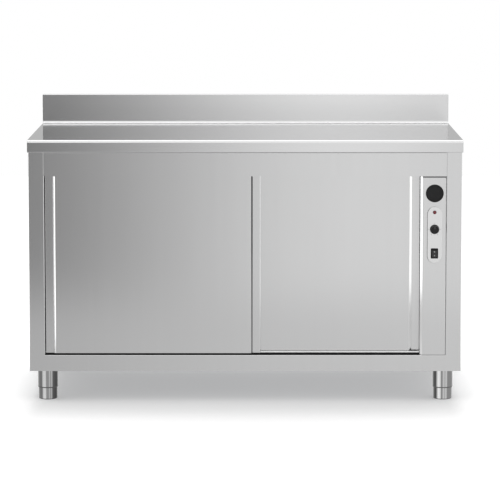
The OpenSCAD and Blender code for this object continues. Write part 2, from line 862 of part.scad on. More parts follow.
worktop();
worktop_core();
worktop_stiffeners();
left_side_panel();
right_side_panel();
top_rail();
bottom_rail();
back_panel();
base_pan();
left_liner();
partition();
rear_liner();
ceiling_liner();
chamber_floor();
insulation();
shelf();
shelf_uprights();
shelf_clips();
top_track();
bottom_guide();
front_door_skin();
front_door_core();
front_door_liner();
front_door_hangers();
rear_door_skin();
rear_door_core();
rear_door_liner();
rear_door_hangers();
front_roller_left();
front_roller_right();
rear_roller_left();
rear_roller_right();
control_panel();
control_bezel();
vent_grille();
pilot_light();
thermostat_knob();
thermostat_body();
thermostat_bulb();
switch_frame();
switch_rocker();
fan_cover();
fan_motor();
fan_impeller();
heating_element();
terminal_block();
cable_gland();
leg_plates();
sleeve_front_left();
sleeve_front_right();
sleeve_rear_left();
sleeve_rear_right();
foot_front_left();
foot_front_right();
foot_rear_left();
foot_rear_right();
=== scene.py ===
import json
import math

import bmesh
import bpy
from mathutils import Matrix, Vector


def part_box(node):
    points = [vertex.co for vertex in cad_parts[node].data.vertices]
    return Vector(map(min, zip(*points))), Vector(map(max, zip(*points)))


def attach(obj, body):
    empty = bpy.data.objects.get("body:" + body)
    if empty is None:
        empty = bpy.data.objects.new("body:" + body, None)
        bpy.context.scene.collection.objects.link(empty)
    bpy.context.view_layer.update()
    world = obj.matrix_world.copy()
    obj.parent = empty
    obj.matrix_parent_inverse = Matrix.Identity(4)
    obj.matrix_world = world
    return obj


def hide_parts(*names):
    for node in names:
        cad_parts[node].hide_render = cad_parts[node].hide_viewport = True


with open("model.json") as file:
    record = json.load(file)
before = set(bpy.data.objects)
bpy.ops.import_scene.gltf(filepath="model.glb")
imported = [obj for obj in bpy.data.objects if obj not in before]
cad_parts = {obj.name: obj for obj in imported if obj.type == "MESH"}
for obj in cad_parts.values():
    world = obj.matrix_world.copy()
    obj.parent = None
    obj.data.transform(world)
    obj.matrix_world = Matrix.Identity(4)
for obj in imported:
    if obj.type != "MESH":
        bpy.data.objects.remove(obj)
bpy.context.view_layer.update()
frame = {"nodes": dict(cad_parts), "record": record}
nodes = frame["nodes"]


# Puts data into the scene as an object
def objectOf(name, data):
    made = bpy.data.objects.new(name, data)
    bpy.context.scene.collection.objects.link(made)
    return made


# Camera: a long lens, a little above the worktop and just right of the middle
cameraSetup = {
    "place": (0.0155, -9.1402, 1.6115),
    "tiltDown": math.radians(5.982),
    "lens": 198.29,
    "shiftDown": 0.12,
}
cameraData = bpy.data.cameras.new("camera")
cameraData.lens = cameraSetup["lens"]
cameraData.shift_y = -cameraSetup["shiftDown"]
cameraData.clip_end = 60
camera = objectOf("camera", cameraData)
camera.location = cameraSetup["place"]
camera.rotation_euler = (math.radians(90) - cameraSetup["tiltDown"], 0, 0)
bpy.context.scene.camera = camera
print("camera set")


# Arithmetic on sockets becomes Math nodes
class Wire:
    def __init__(self, group, socket):
        self.group = group
        self.socket = socket

    def __add__(self, other):
        return self.group.math("ADD", self, other)

    def __sub__(self, other):
        return self.group.math("SUBTRACT", self, other)

    def __mul__(self, other):
        return self.group.math("MULTIPLY", self, other)


# Greys of a colour ramp, as pairs of a place and a shade
def fillRamp(ramp, stops):
    first, last = ramp.elements
    for element, (place, shade) in ((first, stops[0]), (last, stops[-1])):
        element.position = place
        element.color = (shade, shade, shade, 1)
    for place, shade in stops[1:-1]:
        ramp.elements.new(place).color = (shade, shade, shade, 1)


# A node tree that is filled by calls: settings first, then the sockets
class NodeGroup:
    def __init__(self, tree):
        self.tree = tree

    def math(self, operation, first, second=0.0):
        return self.node("ShaderNodeMath", {"operation": operation}, {0: first, 1: second})

    def node(self, kind, settings=None, values=None, out=0):
        made = self.tree.nodes.new(kind)
        for key, value in (settings or {}).items():
            if key == "stops":
                fillRamp(made.color_ramp, value)
            else:
                setattr(made, key, value)
        for key, value in (values or {}).items():
            if isinstance(value, Wire):
                self.tree.links.new(value.socket, made.inputs[key])
            else:
                made.inputs[key].default_value = value
        return Wire(self, made.outputs[out])


class Finish(NodeGroup):
    def __init__(self, name):
        self.material = bpy.data.materials.new(name)
        self.material.use_nodes = True
        super().__init__(self.material.node_tree)
        self.tree.nodes.clear()

    def place(self):
        return self.node("ShaderNodeTexCoord", out=3)

    # how far along x, y or z, for 0, 1 or 2
    def along(self, axis):
        return self.node("ShaderNodeSeparateXYZ", values={0: self.place()}, out=axis)

    def ramp(self, stops, value):
        return self.node("ShaderNodeValToRGB", {"stops": stops}, {"Fac": value})

    # one grey for each cell of a random pattern
    def cells(self, scale):
        cell = self.node("ShaderNodeTexVoronoi", values={"Vector": self.place(), "Scale": scale}, out=1)
        return self.node("ShaderNodeRGBToBW", values={"Color": cell})

    # a noise stretched along the axes by its scale, about 0 to 1
    def noise(self, scale, detail=2.0, roughness=0.5):
        moved = self.node("ShaderNodeMapping", values={"Vector": self.place(), "Scale": scale})
        return self.node(
            "ShaderNodeTexNoise",
            values={"Vector": moved, "Scale": 1.0, "Detail": detail, "Roughness": roughness},
        )

    def shades(self, mask, dark, light):
        return self.node(
            "ShaderNodeMix",
            {"data_type": "RGBA", "clamp_factor": True},
            {0: mask, 6: (*dark, 1), 7: (*light, 1)},
            out=2,
        )

    # one shade, from a darker to a lighter share of it
    def mottled(self, mask, shade, low, high):
        return self.shades(mask, *([min(1.0, value * share) for value in shade] for share in (low, high)))

    def bump(self, height, strength, distance):
        values = {"Height": height, "Strength": strength, "Distance": distance}
        return self.node("ShaderNodeBump", values=values)

    def glow(self, colour, strength):
        return self.node("ShaderNodeEmission", values={"Color": colour, "Strength": strength})

    def surface(self, shader):
        output = self.tree.nodes.new("ShaderNodeOutputMaterial")
        self.tree.links.new(shader.socket, output.inputs["Surface"])
        return self.material

    def finish(self, colour, gloss, bump=None, metal=0.0, **more):
        values = {"Base Color": colour, "Roughness": gloss, "Metallic": metal, **more}
        if bump:
            values["Normal"] = self.bump(*bump)
        return self.surface(self.node("ShaderNodeBsdfPrincipled", values=values))


# Brushed sheet: fine lines along one axis, faint broad streaks and a cloudy variation in gloss
def brushedSteel(name, grey, lines, streaks, gloss, spread, tint=0.002):
    make = Finish(name)
    shade = (grey, grey, grey + tint)
    fine = make.noise(lines, detail=2.0)
    broad = make.noise(streaks, detail=3.0)
    cloud = make.noise((2.2, 2.2, 2.2), detail=3.0)
    tone = fine * 0.45 + broad * 0.35 + cloud * 0.2
    rough = (fine - 0.5) * 0.05 + (cloud - 0.5) * 0.04 + gloss
    colour = make.mottled(tone, shade, 0.95, 1.05)
    return make.finish(colour, rough, (fine, 0.05, 0.0003), 1.0, Anisotropic=spread)


acrossBrush = ((5, 900, 900), (0.7, 60, 60))
materials = {
    "upright": brushedSteel("steel_upright_brush", 0.63, (900, 900, 5), (60, 60, 0.7), 0.22, 0.8),
    "lengthways": brushedSteel("steel_lengthways_brush", 0.63, *acrossBrush, 0.2, 0.0),
    # upstand and flat: the same brushed steel, lighter as painted light and darker as painted shade
    "upstand": brushedSteel("steel_upstand_brush", 0.685, *acrossBrush, 0.2, 0.0),
    "flat": brushedSteel("steel_worktop_brush", 0.53, *acrossBrush, 0.1, 0.0),
    "inner": brushedSteel("steel_inner_sheet", 0.56, (5, 700, 700), (0.8, 40, 40), 0.34, 0.0, tint=0.0),
}


# Zinc coated sheet: soft spangle in tone and gloss
def zincSheet():
    make = Finish("zinc_sheet")
    value = make.cells(90.0)
    cloud = make.noise((6, 6, 6), detail=3.0)
    colour = make.shades(value * 0.7 + cloud * 0.3, (0.44, 0.45, 0.46), (0.6, 0.61, 0.63))
    return make.finish(colour, value * 0.12 + 0.36, (cloud, 0.1, 0.001), 1.0)


# Moulded plastic with a fine grain
def plastic(name, shade, gloss, grainScale=2400.0, strength=0.12, specular=0.5):
    make = Finish(name)
    grain = make.noise((grainScale, grainScale, grainScale), detail=1.0)
    cloud = make.noise((25, 25, 25), detail=3.0)
    rough = (cloud - 0.5) * 0.1 + gloss
    more = {"Specular IOR Level": specular}
    return make.finish(make.mottled(cloud, shade, 0.85, 1.2), rough, (grain, strength, 0.0002), **more)


def lampLens():
    make = Finish("red_lamp_lens")
    cloud = make.noise((300, 300, 300), detail=1.0)
    colour = make.shades(cloud, (0.11, 0.004, 0.008), (0.16, 0.006, 0.011))
    return make.finish(colour, cloud * 0.08 + 0.12, **{"Coat Weight": 0.3})


def particleBoard():
    make = Finish("particle_board")
    chips = make.cells(260.0)
    colour = make.shades(chips, (0.42, 0.29, 0.17), (0.7, 0.55, 0.36))
    return make.finish(colour, chips * 0.1 + 0.75, (chips, 0.3, 0.0006))


def woolMat():
    make = Finish("mineral_wool")
    fibre = make.noise((300, 80, 300), detail=5.0, roughness=0.7)
    colour = make.shades(fibre, (0.5, 0.46, 0.24), (0.78, 0.73, 0.48))
    return make.finish(colour, fibre * 0.05 + 0.92, (fibre, 0.8, 0.004))


# Painted shade for a narrow fold: steel greys at heights in metres, darker towards the top
def paintedFoldShade():
    make = Finish("steel_shaded_fold")
    grain = make.noise((900, 900, 5))
    colour = make.ramp([(0.15, 0.3), (0.32, 0.18), (0.5, 0.045), (0.75, 0.025)], make.along(2))
    return make.finish(colour, grain * 0.05 + 0.3, (grain, 0.05, 0.0003), 1.0)


def metalFinish(name, dark, light, gloss, scale, strength=0.1):
    make = Finish(name)
    mottle = make.noise(scale, detail=4.0)
    colour = make.shades(mottle, dark, light)
    return make.finish(colour, (mottle - 0.5) * 0.12 + gloss, (mottle, strength, 0.0005), 1.0)


materials.update({
    "galvanised_steel": zincSheet(),
    "polished_steel": metalFinish(
        "polished_tube", (0.66, 0.66, 0.665), (0.74, 0.74, 0.745), 0.1, (6, 6, 500), 0.03,
    ),
    "plate": metalFinish("satin_plate", (0.66, 0.66, 0.66), (0.72, 0.72, 0.72), 0.24, (700, 700, 6), 0.05),
    "copper": metalFinish("copper_tube", (0.6, 0.33, 0.22), (0.78, 0.47, 0.34), 0.3, (60, 60, 60)),
    "heater_sheath": metalFinish(
        "heater_sheath", (0.1, 0.09, 0.085), (0.26, 0.23, 0.2), 0.45, (90, 90, 90), 0.3,
    ),
    "zinc_casing": metalFinish("pressed_casing", (0.4, 0.41, 0.42), (0.5, 0.51, 0.52), 0.4, (40, 40, 40)),
    "nylon": plastic("white_nylon", (0.78, 0.77, 0.73), 0.42),
    # guide: nylon painted lighter, painted light on the fin tops
    "guide": plastic("pale_nylon", (0.9, 0.9, 0.9), 0.5),
    "black": plastic("black_plastic", (0.007, 0.007, 0.0075), 0.38, specular=0.25),
    "mesh": plastic("black_mesh", (0.016, 0.016, 0.017), 0.45, specular=0.35),
    "rocker": plastic("rocker_plastic", (0.03, 0.03, 0.031), 0.3, specular=0.3),
    "print": plastic("white_print", (0.75, 0.75, 0.74), 0.5),
    "scale": plastic("grey_print", (0.1, 0.1, 0.1), 0.5),
    "ceramic": plastic("terminal_ceramic", (0.8, 0.78, 0.72), 0.25, 500.0, 0.05),
    # fold: painted shade for the doors' inner fold
    "fold": paintedFoldShade(),
    # bright: lighter steel for slopes, bends and returns, a painted highlight
    "bright": metalFinish("bright_fold", (0.86, 0.86, 0.86), (0.92, 0.92, 0.92), 0.08, (900, 900, 5), 0.03),
    # edge: dark steel used as painted shade and painted shadow, on the strip over the panel, the plate's edge
    # and under the feet
    "edge": metalFinish("dark_edge", (0.1, 0.1, 0.1), (0.16, 0.16, 0.16), 0.25, (60, 60, 60), 0.03),
    "red_lens": lampLens(),
    "core_board": particleBoard(),
    "mineral_wool": woolMat(),
})
print("materials made:", len(materials))


# Which finish a slot of the record gets where the two have different names
slotFinish = {
    "brushed_steel": "upright", "satin_steel": "inner", "bright_plate": "plate", "black_plastic": "black",
    "grey_plastic": "rocker",
}
for entry in frame["record"]["subparts"]:
    slot, finishes = entry["material_slot"], nodes[entry["node"]].data.materials
    finishes.clear()
    finishes.append(materials[slotFinish.get(slot, slot)])
print("finishes given to the frame's nodes")


# Outlines and solids. Every piece stays at the origin with its place in its mesh.
def alongX(u, v, w):
    return (w, u, v)


def alongZ(u, v, w):
    return (u, v, w)


def bendArc(before, corner, after, depth, sheet, radius, steps):
    into = (corner - before).normalized()
    out = (after - corner).normalized()
    angle = math.atan2(into.x * out.y - into.y * out.x, into.dot(out))
    side = math.copysign(1, angle)
    faceRadius = radius + (sheet if side > 0 else 0)
    left = Vector((-into.y, into.x))
    middle = corner - into * faceRadius * math.tan(abs(angle) / 2) + left * faceRadius * side
    reach = side * (faceRadius - side * depth)
    return [middle - Matrix.Rotation(angle * k / steps, 2) @ left * reach for k in range(steps + 1)]


# One face of a folded sheet: the path is the corners of the outer face, the metal lies to its left
def sheetFace(path, depth, sheet, radii, steps):
    corners = [Vector(corner) for corner in path]
    if not isinstance(radii, (list, tuple)):
        radii = [radii] * (len(path) - 2)

    def pushed(start, end, at):
        along = (end - start).normalized()
        return at + Vector((-along.y, along.x)) * depth

    points = [pushed(corners[0], corners[1], corners[0])]
    for before, corner, after, radius in zip(corners, corners[1:], corners[2:], radii):
        points += bendArc(before, corner, after, depth, sheet, radius, steps)
    return points + [pushed(corners[-2], corners[-1], corners[-1])]


def linked(name, points, faces, finish, smoothAngle=40):
    mesh = bpy.data.meshes.new(name)
    mesh.from_pydata(points, [], faces)
    shell = bmesh.new()
    shell.from_mesh(mesh)
    bmesh.ops.recalc_face_normals(shell, faces=shell.faces)
    shell.to_mesh(mesh)
    shell.free()
    mesh.materials.append(materials[finish])
    mesh.shade_smooth()
    mesh.set_sharp_from_angle(angle=math.radians(smoothAngle))
    return objectOf(name, mesh)


def foldedSheet(name, path, sheet, radii, low, high, place, finish="upright", steps=8):
    sides = [sheetFace(path, depth, sheet, radii, steps) for depth in (0, sheet)]
    count = len(sides[0])
    points = [place(point.x, point.y, end) for end in (low, high) for side in sides for point in side]

    def at(end, side, i):
        return (end * 2 + side) * count + i

    faces = [(at(0, 0, i), at(1, 0, i), at(1, 1, i), at(0, 1, i)) for i in (0, count - 1)]
    for i in range(count - 1):
        j = i + 1
        faces += [(at(0, side, i), at(0, side, j), at(1, side, j), at(1, side, i)) for side in (0, 1)]
        faces += [(at(end, 0, i), at(end, 0, j), at(end, 1, j), at(end, 1, i)) for end in (0, 1)]
    return linked(name, points, faces, finish)


# Rings of equal length joined in order, with both ends closed or the last ring joined to the first
def loft(name, rings, finish, closed=False, smoothAngle=40):
    count = len(rings[0])
    points = [point for ring in rings for point in ring]
    faces = []
    pairs = list(zip(range(len(rings) - 1), range(1, len(rings))))
    if closed:
        pairs.append((len(rings) - 1, 0))
    else:
        faces += [tuple(range(count)), tuple(range((len(rings) - 1) * count, len(rings) * count))]
    for first, second in pairs:
        for i in range(count):
            j = (i + 1) % count
            faces.append((first * count + i, first * count + j, second * count + j, second * count + i))
    return linked(name, points, faces, finish, smoothAngle)


# Round piece: its heights run up, to the front or to the right
def lathe(name, profile, centre, finish, count=96, axis="up", closed=False, radiusAt=None, smoothAngle=40):
    rings = []
    for radius, height in profile:
        ring = []
        for i in range(count):
            angle = 2 * math.pi * i / count
            reach = radiusAt(radius, height, angle) if radiusAt else radius
            across, along = reach * math.cos(angle), reach * math.sin(angle)
            offset = {"up": (across, along, height), "front": (across, -height, along)}
            offset["right"] = (height, across, along)
            ring.append(tuple(Vector(centre) + Vector(offset[axis])))
        rings.append(ring)
    return loft(name, rings, finish, closed, smoothAngle)


def arc(centre, radius, start, end, steps):
    angles = [math.radians(start + (end - start) * k / steps) for k in range(steps + 1)]
    return [(centre[0] + radius * math.cos(a), centre[1] + radius * math.sin(a)) for a in angles]


# Outline of a plate with round corners, drawn in by an inset
def roundedOutline(width, height, radius, inset=0.0, steps=12):
    small = max(radius - inset, 0.00005)
    points = []
    for start, x, y in ((0, 1, 1), (90, -1, 1), (180, -1, -1), (270, 1, -1)):
        centre = (x * (width / 2 - inset - small), y * (height / 2 - inset - small))
        points += arc(centre, small, start, start + 90, steps)
    return points


# Plate on the front, built from its outline at several insets and depths
def frontPlate(name, centre, width, height, radius, layers, finish, smoothAngle=40):
    rings = []
    for inset, out in layers:
        outline = roundedOutline(width, height, radius, inset)
        rings.append([(centre[0] + x, centre[1] - out, centre[2] + z) for x, z in outline])
    return loft(name, rings, finish, smoothAngle=smoothAngle)


# Block between two corners, which may be given from a centre
def blockPiece(name, low, high, finish, centre=(0, 0, 0)):
    spans = [(middle + first, middle + last) for middle, first, last in zip(centre, low, high)]
    points = [(x, y, z) for x in spans[0] for y in spans[1] for z in spans[2]]
    faces = [(0, 1, 3, 2), (4, 5, 7, 6), (0, 1, 5, 4), (2, 3, 7, 6), (0, 2, 6, 4), (1, 3, 7, 5)]
    return linked(name, points, faces, finish)


# The mesh of an object as its modifiers leave it
def finalMesh(made):
    graph = bpy.context.evaluated_depsgraph_get()
    return bpy.data.meshes.new_from_object(made.evaluated_get(graph))


# The modifiers of a piece become its mesh
def settled(made, smoothAngle=40):
    mesh = finalMesh(made)
    made.modifiers.clear()
    made.data = mesh
    mesh.shade_smooth()
    mesh.set_sharp_from_angle(angle=math.radians(smoothAngle))
    return made


def cut(made, cutters):
    for cutter in cutters:
        modifier = made.modifiers.new("cut", "BOOLEAN")
        modifier.object = cutter
        modifier.operation = "DIFFERENCE"
        modifier.solver = "EXACT"
    settled(made)
    for cutter in cutters:
        bpy.data.objects.remove(cutter)
    return made


# What the tests of faces compare a normal with
facing = {"straight": 0.99, "standing": 0.5, "sideways": 0.3, "upwards": 0.6}


def standing(face):
    return abs(face.normal.z) < facing["standing"]


# Gives some faces a second finish
def painted(made, finish, test):
    mesh = made.data
    mesh.materials.append(materials[finish])
    index = len(mesh.materials) - 1
    for face in mesh.polygons:
        if test(face):
            face.material_index = index


# Flat faces keep their own normal beside a rounded bend; then the piece joins its body
def worn(made, slot, *replaced, body="cabinet"):
    weigh = made.modifiers.new("weigh", "WEIGHTED_NORMAL")
    weigh.keep_sharp = True
    weigh.weight = 100
    made.data = finalMesh(made)
    made.modifiers.clear()
    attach(made, body)
    if replaced:
        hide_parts(*replaced)


# Pattern on a piece: a geometry group with named inputs, run once and turned into a plain mesh
class Pattern(NodeGroup):
    def __init__(self, name, inputs):
        group = bpy.data.node_groups.new(name, "GeometryNodeTree")
        super().__init__(group)
        for direction in ("OUTPUT", "INPUT"):
            group.interface.new_socket("Geometry", in_out=direction, socket_type="NodeSocketGeometry")
        self.inputs = []
        for label, value in inputs.items():
            kind = "NodeSocketInt" if isinstance(value, int) else "NodeSocketFloat"
            socket = group.interface.new_socket(label, in_out="INPUT", socket_type=kind)
            self.inputs.append((socket.identifier, value))
        self.entry = group.nodes.new("NodeGroupInput")

    def given(self, label):
        return Wire(self, self.entry.outputs[label])

    def vector(self, x=0.0, y=0.0, z=0.0):
        return self.node("ShaderNodeCombineXYZ", values={0: x, 1: y, 2: z})

    def moved(self, geometry, place, turn=(0, 0, 0)):
        values = {"Geometry": geometry, "Translation": place, "Rotation": turn}
        return self.node("GeometryNodeTransform", values=values)

    def copies(self, points, piece, **more):
        values = {"Points": points, "Instance": piece, **more}
        return self.node("GeometryNodeInstanceOnPoints", values=values)

    def joined(self, parts, finish):
        join = self.tree.nodes.new("GeometryNodeJoinGeometry")
        for part in parts:
            self.tree.links.new(part.socket, join.inputs[0])
        real = self.node("GeometryNodeRealizeInstances", values={0: Wire(self, join.outputs[0])})
        values = {"Geometry": real, "Material": materials[finish]}
        coated = self.node("GeometryNodeSetMaterial", values=values)
        output = self.tree.nodes.new("NodeGroupOutput")
        self.tree.links.new(coated.socket, output.inputs[0])

    def applied(self, made, smoothAngle=40):
        modifier = made.modifiers.new("pattern", "NODES")
        modifier.node_group = self.tree
        for identifier, value in self.inputs:
            modifier[identifier] = value
        return settled(made, smoothAngle)


# Places read from the frame's boxes
class Place:
    def __init__(self, name):
        low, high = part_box(name)
        self.low, self.high = Vector(low), Vector(high)
        self.mid, self.size = (self.low + self.high) / 2, self.high - self.low


top, sidePanel, panel = Place("worktop"), Place("left_side_panel"), Place("control_panel")
lowerRail, upperRail, liner = Place("bottom_rail"), Place("top_rail"), Place("left_liner")
bezel, grille, lamp = Place("control_bezel"), Place("vent_grille"), Place("pilot_light")
knob, frameBox = Place("thermostat_knob"), Place("switch_frame")
sheet, bendRadius, panHeight = 0.0015, 0.001, 0.021
# How far a cutter reaches past the metal
cutOver = 0.001


# Worktop: one folded sheet and an end plate with a softened edge at each side
worktopSize = {
    "lip": 0.02, "upstand": 0.015, "upstandHeight": 0.1, "cove": 0.009, "frontEdge": 0.0085, "soft": 0.0009,
    "steps": 14, "lipGap": 0.003, "broadArea": 0.1,
}
topLevel = top.high.z - worktopSize["upstandHeight"]
upstandFront = top.high.y - worktopSize["upstand"]
worktopPath = [
    (top.high.y - worktopSize["lip"], top.low.z), (top.high.y, top.low.z), (top.high.y, top.high.z),
    (upstandFront, top.high.z), (upstandFront, topLevel),
    (top.low.y, topLevel), (top.low.y, top.low.z), (top.low.y + worktopSize["lip"], top.low.z),
]
worktopRadii = [bendRadius] * 3 + [worktopSize["cove"], worktopSize["frontEdge"], bendRadius]
made = foldedSheet(
    "worktop_sheet", worktopPath, sheet, worktopRadii, top.low.x + sheet, top.high.x - sheet, alongX,
    "lengthways", worktopSize["steps"],
)
# The broad top face gets the darker copy of the steel and the upstand the lighter one, painted shade and
# painted light
for finish, axis, side in (("flat", 2, 1), ("upstand", 1, -1)):
    painted(made, finish, lambda face: (
        side * face.normal[axis] > facing["straight"] and face.area > worktopSize["broadArea"]
    ))
worn(made, "brushed_steel", "worktop")


# End plate from rings of the outline, each drawn in a little more towards the outside
def worktopEnd(name, side):
    soft = worktopSize["soft"]
    rings = []
    for depth, inward in ((soft, 0.0), (soft * 0.3, soft * 0.3), (0.0, soft), (0.0, sheet)):
        x = side * (top.high.x - inward)
        outline = sheetFace(worktopPath, depth, sheet, worktopRadii, worktopSize["steps"])
        rings.append([(x, point.x, point.y) for point in outline])
    return loft(name, rings, "lengthways")


for name, side in (("worktop_end_left", -1), ("worktop_end_right", 1)):
    worn(worktopEnd(name, side), "brushed_steel")
    low, high = sorted((side * (top.high.x - sheet), side * (top.high.x - worktopSize["lip"])))
    lip = blockPiece(
        name + "_lip", (low, top.low.y + worktopSize["lipGap"], top.low.z),
        (high, top.high.y - worktopSize["lipGap"], top.low.z + sheet), "lengthways",
    )
    worn(lip, "brushed_steel")
print("worktop made")


# Side panels, each folded round into the front upright
bodySize = {"rearFlange": 0.02, "topFlange": 0.03, "weldLap": 0.003, "weldProud": 0.00005}
for side, name in ((-1, "left"), (1, "right")):
    outer, inner = side * -sidePanel.low.x, side * -sidePanel.high.x
    path = [
        (outer - side * bodySize["rearFlange"], sidePanel.high.y), (outer, sidePanel.high.y),
        (outer, sidePanel.low.y), (inner, sidePanel.low.y), (inner, liner.low.y),
    ]
    if side > 0:
        path.reverse()
    made = foldedSheet(f"{name}_side", path, sheet, bendRadius, sidePanel.low.z, sidePanel.high.z, alongZ)
    notch = sorted((inner - side * cutOver, inner + side * (sheet + bendRadius)))
    cut(made, [blockPiece(
        "notch", (notch[0], sidePanel.low.y + sheet, sidePanel.low.z - cutOver),
        (notch[1], liner.low.y + cutOver, sidePanel.low.z + panHeight), "upright",
    )])
    worn(made, "brushed_steel", f"{name}_side_panel")
    flange = sorted((outer - side * sheet / 2, outer - side * bodySize["topFlange"]))
    worn(blockPiece(
        f"{name}_side_flange", (flange[0], liner.low.y, sidePanel.high.z - sheet),
        (flange[1], sidePanel.high.y - 2 * sheet, sidePanel.high.z), "upright",
    ), "brushed_steel")

# Rails over and under the doors
rails = (("rail_over_doors", upperRail, "top_rail"), ("rail_under_doors", lowerRail, "bottom_rail"))
for name, rail, node in rails:
    front, rear = rail.low.y - bodySize["weldProud"], rail.high.y - bodySize["weldProud"]
    made = foldedSheet(
        name, [(rear, rail.high.z), (front, rail.high.z), (front, rail.low.z)], sheet, bendRadius,
        rail.low.x - bodySize["weldLap"], rail.high.x + bodySize["weldLap"], alongX,
    )
    worn(made, "brushed_steel", node)


# Doors: a recessed strip at each edge, a sloped grip outside and a steeper fold inside
doorSize = {
    "strip": 0.025, "slope": 0.008, "drop": 0.006, "recess": 0.009, "fold": 0.005, "sheet": 0.001,
    "bend": 0.0012, "crease": 0.0003, "slotFront": 0.0103, "slotRear": 0.0147, "slotHeight": 0.01,
}


def doorSkin(name, body, node, side):
    place = Place(node)
    front, rear = place.low.y, place.high.y
    outer = place.low.x if side < 0 else place.high.x
    inner = place.high.x if side < 0 else place.low.x
    strip, back = outer - side * doorSize["strip"], inner + side * doorSize["strip"]
    slopeEnd, foldEnd = strip - side * doorSize["slope"], back + side * doorSize["fold"]
    recess = front + doorSize["recess"]
    path = [
        (outer, rear), (outer, recess), (strip, recess), (strip, front + doorSize["drop"]),
        (slopeEnd, front), (foldEnd, front), (back, recess), (inner, recess), (inner, rear),
    ]
    radii = [doorSize["crease"]] * 3 + [doorSize["bend"]] * 4
    if side > 0:
        path.reverse()
        radii.reverse()
    made = foldedSheet(name, path, doorSize["sheet"], radii, place.low.z, place.high.z, alongZ)
    cut(made, [blockPiece(
        "slot", (place.low.x - cutOver, front + doorSize["slotFront"], place.low.z - cutOver),
        (place.high.x + cutOver, front + doorSize["slotRear"], place.low.z + doorSize["slotHeight"]), "upright",
    )])

    def between(face, first, second):
        return min(first, second) < face.center.x < max(first, second)

    # Faces of the inner fold, which get painted shade
    def inPaintedFoldShade(face):
        return standing(face) and between(face, foldEnd, back) and face.center.y < recess

    # Faces of the grip slope and the end bends, which get the lighter steel as a painted highlight
    def getsPaintedHighlight(face):
        toEnd = min(abs(face.center.x - inner), abs(face.center.x - outer))
        inPlace = between(face, strip, slopeEnd) or toEnd < doorSize["bend"]
        return standing(face) and inPlace and face.center.y < recess + doorSize["bend"]

    painted(made, "fold", inPaintedFoldShade)
    painted(made, "bright", getsPaintedHighlight)
    worn(made, "brushed_steel", node, body=body)


doorSkin("front_door_sheet", "front_door", "front_door_skin", -1)
doorSkin("rear_door_sheet", "rear_door", "rear_door_skin", 1)

# Guide under the doors: a black foot with two fins, black below and pale above. The black is painted shade for
# the gap under the doors; the pale tops are nylon painted lighter
guide = Place("bottom_guide")
guideSize = {"foot": 0.002, "reach": 0.011, "firstFin": 0.0155, "pitch": 0.019, "fin": 0.002, "pale": 0.0065}
made = blockPiece(
    "guide_foot", (guide.low.x, guide.low.y - guideSize["reach"], guide.low.z),
    (guide.high.x, guide.high.y, guide.low.z + guideSize["foot"]), "black",
)
worn(made, "nylon", "bottom_guide")
for k in range(2):
    y = lowerRail.low.y + guideSize["firstFin"] + k * guideSize["pitch"]
    levels = (guide.low.z + guideSize["foot"], guide.low.z + guideSize["pale"], guide.high.z)
    for low, high, part, finish in zip(levels, levels[1:], ("low", "top"), ("black", "guide")):
        corners = [(guide.low.x, y, low), (guide.high.x, y + guideSize["fin"], high)]
        worn(blockPiece(f"guide_fin_{k + 1}_{part}", *corners, finish), "nylon")
print("body and doors made")


# Control panel and the raised plate on it, cut for the controls
controlSize = {
    "slope": 0.008, "drop": 0.006, "return": 0.015, "holeDepth": 0.003,
    "grilleHole": 0.0238, "lampHole": 0.005, "shaftHole": 0.006, "switchHalf": (0.0105, 0.015),
    "shadowStripLow": (-0.001, -0.0001, -0.0018), "shadowStripHigh": (-0.0005, 0.006, -0.0001),
}
faceY = panel.low.y
switchX, switchZ = frameBox.mid.x, frameBox.mid.z
lampZ, knobZ = lamp.mid.z, knob.mid.z


def controlCutters(low, high, grilleToo):
    holes = [(controlSize["lampHole"], lampZ), (controlSize["shaftHole"], knobZ)]
    if grilleToo:
        holes.append((controlSize["grilleHole"], grille.mid.z))
    cutters = [
        lathe("hole", [(radius, -high), (radius, -low)], (grille.mid.x, 0, z), "upright", 64, "front")
        for radius, z in holes
    ]
    halfX, halfZ = controlSize["switchHalf"]
    corners = [(-halfX, low, -halfZ), (halfX, high, halfZ)]
    return cutters + [blockPiece("hole", *corners, "upright", (switchX, 0, switchZ))]


slopeEnd = panel.low.x + controlSize["slope"]
panelPath = [
    (panel.low.x, panel.high.y), (panel.low.x, faceY + controlSize["drop"]), (slopeEnd, faceY),
    (panel.high.x, faceY), (panel.high.x, faceY + controlSize["return"]),
]
panelRadii = [doorSize["crease"], doorSize["crease"], bendRadius]
made = foldedSheet("control_panel_sheet", panelPath, sheet, panelRadii, panel.low.z, panel.high.z, alongZ)
# The panel's left slope and return get the lighter steel, a painted highlight
painted(made, "bright", lambda face: face.center.x < slopeEnd and face.normal.x < -facing["sideways"])
cut(made, controlCutters(faceY - cutOver, faceY + controlSize["holeDepth"], True))
worn(made, "brushed_steel", "control_panel")
# A thin dark strip in the gap over the panel, a painted shadow
shadowStripLow = Vector((slopeEnd, faceY, panel.high.z)) + Vector(controlSize["shadowStripLow"])
shadowStripHigh = Vector((panel.high.x, faceY, upperRail.low.z)) + Vector(controlSize["shadowStripHigh"])
worn(blockPiece("panel_top_shadow_strip", shadowStripLow, shadowStripHigh, "edge"), "black_plastic")


# Raised plate with a rounded edge, with painted shade where the edge turns left or up
plateSize = {"straight": 0.0014, "round": 0.0016, "steps": 6, "darkFrom": 0.0002, "darkArea": 0.0002}
layers = [(0.0, 0.0)] + [
    (plateSize["round"] * (1 - inward), plateSize["straight"] + plateSize["round"] * outward)
    for inward, outward in arc((0, 0), 1, 0, 90, plateSize["steps"])
]


# Faces of the plate's edge that get painted shade
def getsPaintedEdgeShade(face):
    turned = face.normal.x < -facing["sideways"] or face.normal.z > facing["upwards"]
    return turned and face.center.y < faceY - plateSize["darkFrom"] and face.area < plateSize["darkArea"]


